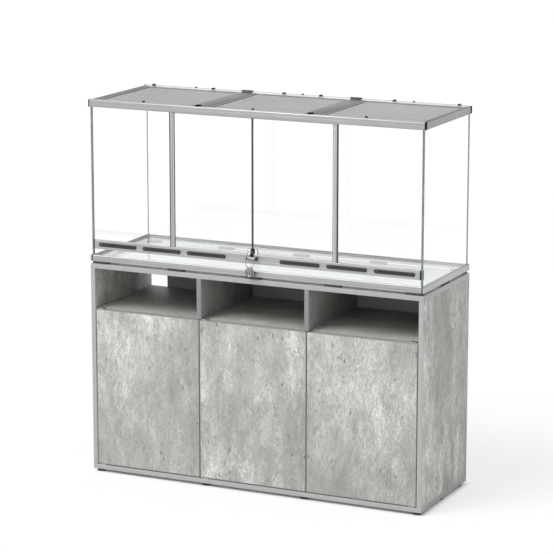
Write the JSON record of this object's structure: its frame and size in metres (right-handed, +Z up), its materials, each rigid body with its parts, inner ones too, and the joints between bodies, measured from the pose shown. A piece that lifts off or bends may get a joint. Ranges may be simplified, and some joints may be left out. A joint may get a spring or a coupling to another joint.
{
  "type": "terrarium cabinet",
  "caption": "Front-opening glass terrarium with a vented sill strip and hinged mesh lids, standing on a board cabinet with open niches above push-to-open doors.",
  "frame": {"origin": "on the floor, under the middle of the whole box (the box includes the latch, which stands out in front)", "axes": "+Z up, front towards -Y, +X to the right seen from the front"},
  "size_m": [1.2, 0.424, 1.2796],
  "materials": {
    "door_board": "matt concrete-look foil on board, faint upright streaks",
    "side_board": "matt grey concrete-look foil on board",
    "board_edge": "matt light grey foil on board",
    "inner_board": "matt grey foil on board, inside the cabinet",
    "back_board": "matt dark grey foil on thin board",
    "rail_aluminium": "satin anodised extrusion",
    "bar_aluminium": "darker satin anodised flat bar",
    "tank_glass": "clear float glass with grey-green edges",
    "black_plastic": "matt black moulded plastic",
    "grille_plastic": "matt dark grey moulded plastic",
    "white_plastic": "white moulded plastic",
    "seal_rubber": "dark grey soft seal",
    "stile_plastic": "dark grey plastic profile",
    "pivot_steel": "zinc-plated steel",
    "latch_metal": "polished die-cast metal",
    "latch_wire": "polished steel wire",
    "lid_mesh": "fine woven mesh sheet in a grey frame"
  },
  "bodies": {
    "cabinet_and_tank": {"feet": "black_plastic", "bottom_panel": "board_edge", "top_panel": "board_edge", "side_panel_left": "side_board", "side_panel_right": "side_board", "dividers": "inner_board", "niche_shelves": "inner_board", "back_panel": "back_board", "pivot_plates": "pivot_steel", "push_latch_housings": "white_plastic", "support_pads": "black_plastic", "base_rail_front": "rail_aluminium", "base_rail_rear": "rail_aluminium", "base_side_rails": "rail_aluminium", "corner_caps": "black_plastic", "glass_bottom": "tank_glass", "glass_back_pane": "tank_glass", "glass_left": "tank_glass", "glass_right": "tank_glass", "glass_sill": "tank_glass", "vent_strip": "rail_aluminium", "vent_grilles": "grille_plastic", "glass_fixed_left": "tank_glass", "glass_fixed_right": "tank_glass", "posts": "rail_aluminium", "post_gaskets": "seal_rubber", "latch_catch": "latch_metal", "latch_base": "latch_metal", "top_rail_front": "rail_aluminium", "top_rail_rear": "rail_aluminium", "top_side_bars": "bar_aluminium", "cross_bars": "bar_aluminium", "top_end_caps": "black_plastic", "lid_hinge_blocks": "black_plastic", "rail_buttons": "black_plastic"},
    "cabinet_door_left": {"door_left": "door_board"},
    "cabinet_door_mid": {"door_mid": "door_board"},
    "cabinet_door_right": {"door_right": "door_board"},
    "push_plunger_left": {"plunger_left": "white_plastic"},
    "push_plunger_mid": {"plunger_mid": "white_plastic"},
    "push_plunger_right": {"plunger_right": "white_plastic"},
    "tank_door_left": {"glass_door_left": "tank_glass", "door_stile_left": "stile_plastic", "door_seal": "seal_rubber"},
    "tank_door_right": {"glass_door_right": "tank_glass", "door_stile_right": "stile_plastic"},
    "latch_lever_body": {"latch_lever": "latch_metal"},
    "latch_bail_body": {"latch_bail": "latch_wire"},
    "lid_left_body": {"lid_left": "lid_mesh", "lid_knob_left": "black_plastic"},
    "lid_mid_body": {"lid_mid": "lid_mesh", "lid_knob_mid": "black_plastic"},
    "lid_right_body": {"lid_right": "lid_mesh", "lid_knob_right": "black_plastic"},
    "shutter_1": {"vent_shutter_1": "grille_plastic"},
    "shutter_2": {"vent_shutter_2": "grille_plastic"},
    "shutter_3": {"vent_shutter_3": "grille_plastic"},
    "shutter_4": {"vent_shutter_4": "grille_plastic"},
    "shutter_5": {"vent_shutter_5": "grille_plastic"},
    "shutter_6": {"vent_shutter_6": "grille_plastic"}
  },
  "joints": [
    {"name": "door_left_hinge", "type": "hinge", "parent": "cabinet_and_tank", "child": "cabinet_door_left", "pos_m": [-0.5725, -0.181, 0.298], "axis": [0, 0, -1], "range_deg": [0, 95]},
    {"name": "door_mid_hinge", "type": "hinge", "parent": "cabinet_and_tank", "child": "cabinet_door_mid", "pos_m": [-0.184, -0.181, 0.298], "axis": [0, 0, -1], "range_deg": [0, 95]},
    {"name": "door_right_hinge", "type": "hinge", "parent": "cabinet_and_tank", "child": "cabinet_door_right", "pos_m": [0.5725, -0.181, 0.298], "axis": [0, 0, 1], "range_deg": [0, 95]},
    {"name": "push_latch_left", "type": "slide", "parent": "cabinet_and_tank", "child": "push_plunger_left", "axis": [0, 1, 0], "range_m": [0, 0.0025], "stiffness_N_per_m": 300},
    {"name": "push_latch_mid", "type": "slide", "parent": "cabinet_and_tank", "child": "push_plunger_mid", "axis": [0, 1, 0], "range_m": [0, 0.0025], "stiffness_N_per_m": 300},
    {"name": "push_latch_right", "type": "slide", "parent": "cabinet_and_tank", "child": "push_plunger_right", "axis": [0, 1, 0], "range_m": [0, 0.0025], "stiffness_N_per_m": 300},
    {"name": "tank_door_left_hinge", "type": "hinge", "parent": "cabinet_and_tank", "child": "tank_door_left", "pos_m": [-0.2863, -0.1805, 1.0265], "axis": [0, 0, -1], "range_deg": [0, 90]},
    {"name": "tank_door_right_hinge", "type": "hinge", "parent": "cabinet_and_tank", "child": "tank_door_right", "pos_m": [0.2863, -0.1805, 1.0265], "axis": [0, 0, 1], "range_deg": [0, 90]},
    {"name": "latch_lever_hinge", "type": "hinge", "parent": "cabinet_and_tank", "child": "latch_lever_body", "pos_m": [0, -0.198, 0.738], "axis": [1, 0, 0], "range_deg": [0, 115]},
    {"name": "latch_bail_hinge", "type": "hinge", "parent": "latch_lever_body", "child": "latch_bail_body", "pos_m": [0, -0.208, 0.766], "axis": [1, 0, 0], "range_deg": [0, 60]},
    {"name": "vent_slide_1", "type": "slide", "parent": "cabinet_and_tank", "child": "shutter_1", "axis": [-1, 0, 0], "range_m": [0, 0.006]},
    {"name": "vent_slide_2", "type": "slide", "parent": "cabinet_and_tank", "child": "shutter_2", "axis": [-1, 0, 0], "range_m": [0, 0.006]},
    {"name": "vent_slide_3", "type": "slide", "parent": "cabinet_and_tank", "child": "shutter_3", "axis": [-1, 0, 0], "range_m": [0, 0.006]},
    {"name": "vent_slide_4", "type": "slide", "parent": "cabinet_and_tank", "child": "shutter_4", "axis": [-1, 0, 0], "range_m": [0, 0.006]},
    {"name": "vent_slide_5", "type": "slide", "parent": "cabinet_and_tank", "child": "shutter_5", "axis": [-1, 0, 0], "range_m": [0, 0.006]},
    {"name": "vent_slide_6", "type": "slide", "parent": "cabinet_and_tank", "child": "shutter_6", "axis": [-1, 0, 0], "range_m": [0, 0.006]},
    {"name": "lid_left_hinge", "type": "hinge", "parent": "cabinet_and_tank", "child": "lid_left_body", "pos_m": [-0.4045, 0.19925, 1.2774], "axis": [-1, 0, 0], "range_deg": [0, 90]},
    {"name": "lid_mid_hinge", "type": "hinge", "parent": "cabinet_and_tank", "child": "lid_mid_body", "pos_m": [0, 0.19925, 1.2774], "axis": [-1, 0, 0], "range_deg": [0, 90]},
    {"name": "lid_right_hinge", "type": "hinge", "parent": "cabinet_and_tank", "child": "lid_right_body", "pos_m": [0.4045, 0.19925, 1.2774], "axis": [-1, 0, 0], "range_deg": [0, 90]}
  ]
}
